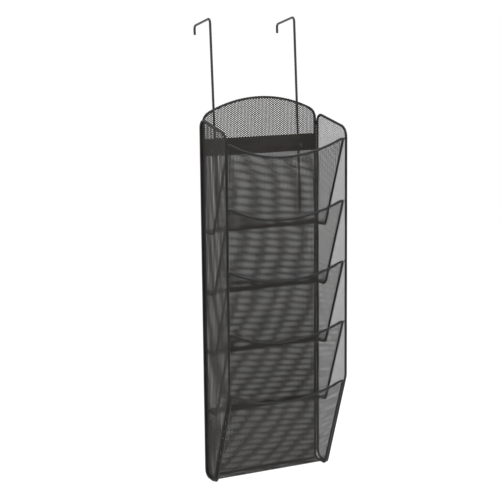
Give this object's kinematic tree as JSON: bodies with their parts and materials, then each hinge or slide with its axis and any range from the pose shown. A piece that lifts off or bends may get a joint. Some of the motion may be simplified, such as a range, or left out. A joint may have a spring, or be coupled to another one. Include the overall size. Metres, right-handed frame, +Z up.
{
  "type": "hanging file rack",
  "caption": "Hanging wall rack of expanded-metal mesh with slanted pockets stacked one above the other, hung over a partition panel by two bent wire hangers.",
  "frame": {"origin": "centre of the rear face of the mounting band, the face that rests against the partition", "axes": "+X to the rack's right seen from the front, -Y out of its front, +Z up"},
  "size_m": [0.261, 0.2246, 0.9176],
  "materials": {
    "frame_wire": "satin black powder coat",
    "mesh": "satin black powder coat",
    "band": "satin black powder coat",
    "clip": "satin black powder coat",
    "hanger_wire": "satin black powder coat",
    "screw": "zinc plated, partly rubbed bright"
  },
  "bodies": {
    "rack": {"back_frame_wire": "frame_wire", "back_mesh_panel": "mesh", "left_side_frame_wire": "frame_wire", "left_side_mesh_panel": "mesh", "right_side_frame_wire": "frame_wire", "right_side_mesh_panel": "mesh", "pocket_1_frame_wire": "frame_wire", "pocket_2_frame_wire": "frame_wire", "pocket_3_frame_wire": "frame_wire", "pocket_4_frame_wire": "frame_wire", "pocket_5_frame_wire": "frame_wire", "pocket_1_mesh": "mesh", "pocket_2_mesh": "mesh", "pocket_3_mesh": "mesh", "pocket_4_mesh": "mesh", "pocket_5_mesh": "mesh", "mounting_band": "band", "left_hanger_clip": "clip", "right_hanger_clip": "clip"},
    "left_hanger_wire": {"left_hanger": "hanger_wire"},
    "right_hanger_wire": {"right_hanger": "hanger_wire"},
    "left_screw": {"left_clip_screw": "screw"},
    "right_screw": {"right_clip_screw": "screw"}
  },
  "joints": [
    {"name": "left_hanger_slide", "type": "slide", "parent": "rack", "child": "left_hanger_wire", "axis": [0, 0.061, 0.9981], "range_m": [0, 0.1]},
    {"name": "right_hanger_slide", "type": "slide", "parent": "rack", "child": "right_hanger_wire", "axis": [0, 0.061, 0.9981], "range_m": [0, 0.1]},
    {"name": "left_screw_turn", "type": "hinge", "parent": "rack", "child": "left_screw", "pos_m": [-0.09915, 0, -0.0055], "axis": [0, -1, 0], "range_deg": [0, 360]},
    {"name": "right_screw_turn", "type": "hinge", "parent": "rack", "child": "right_screw", "pos_m": [0.09915, 0, -0.0055], "axis": [0, -1, 0], "range_deg": [0, 360]}
  ]
}
